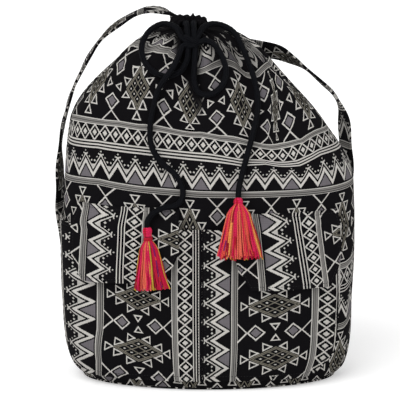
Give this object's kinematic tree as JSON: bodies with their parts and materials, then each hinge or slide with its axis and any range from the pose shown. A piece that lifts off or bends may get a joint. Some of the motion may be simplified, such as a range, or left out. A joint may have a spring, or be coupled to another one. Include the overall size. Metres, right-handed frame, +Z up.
{
  "type": "backpack",
  "caption": "Bucket backpack of patterned woven cotton on an oval base, drawn shut by a cord tied in a bow with tassels, with flapped patch pockets and cloth shoulder straps.",
  "frame": {"origin": "middle of the base panel's underside", "axes": "+Z up, towards the gathered mouth; -Y towards the front with the pockets; +X to the right as the front is seen"},
  "size_m": [0.3397, 0.2085, 0.4171],
  "materials": {
    "printed_cloth": "plain woven cotton in black, with bands of lozenges, chains and zigzags in cream and grey",
    "hem_cloth": "the same cotton, dark where it is folded over the cord",
    "strap_cloth": "the same cotton folded into a band, its bands of pattern crossing the strap",
    "cord": "black braided cord",
    "tassel_head_yarn": "crimson and pink cotton yarn, wrapped",
    "tassel_binding_yarn": "hot pink thread, wound",
    "tassel_skirt_yarn": "loose strands in red, pink, orange, olive yellow and purple"
  },
  "bodies": {
    "root": {"base_panel": "printed_cloth", "body_front": "printed_cloth", "body_back": "printed_cloth", "front_pocket_left": "printed_cloth", "front_pocket_right": "printed_cloth", "pocket_flap_left": "printed_cloth", "pocket_flap_right": "printed_cloth", "mouth_casing": "hem_cloth", "shoulder_strap_left": "strap_cloth", "shoulder_strap_right": "strap_cloth", "drawstring_channel_run": "cord", "drawstring_knot": "cord", "bow_loop_left": "cord", "bow_loop_right": "cord", "cord_tail_left": "cord", "cord_tail_right": "cord", "tassel_head_left": "tassel_head_yarn", "tassel_head_right": "tassel_head_yarn", "tassel_binding_left": "tassel_binding_yarn", "tassel_binding_right": "tassel_binding_yarn", "tassel_skirt_left": "tassel_skirt_yarn", "tassel_skirt_right": "tassel_skirt_yarn"}
  },
  "joints": []
}
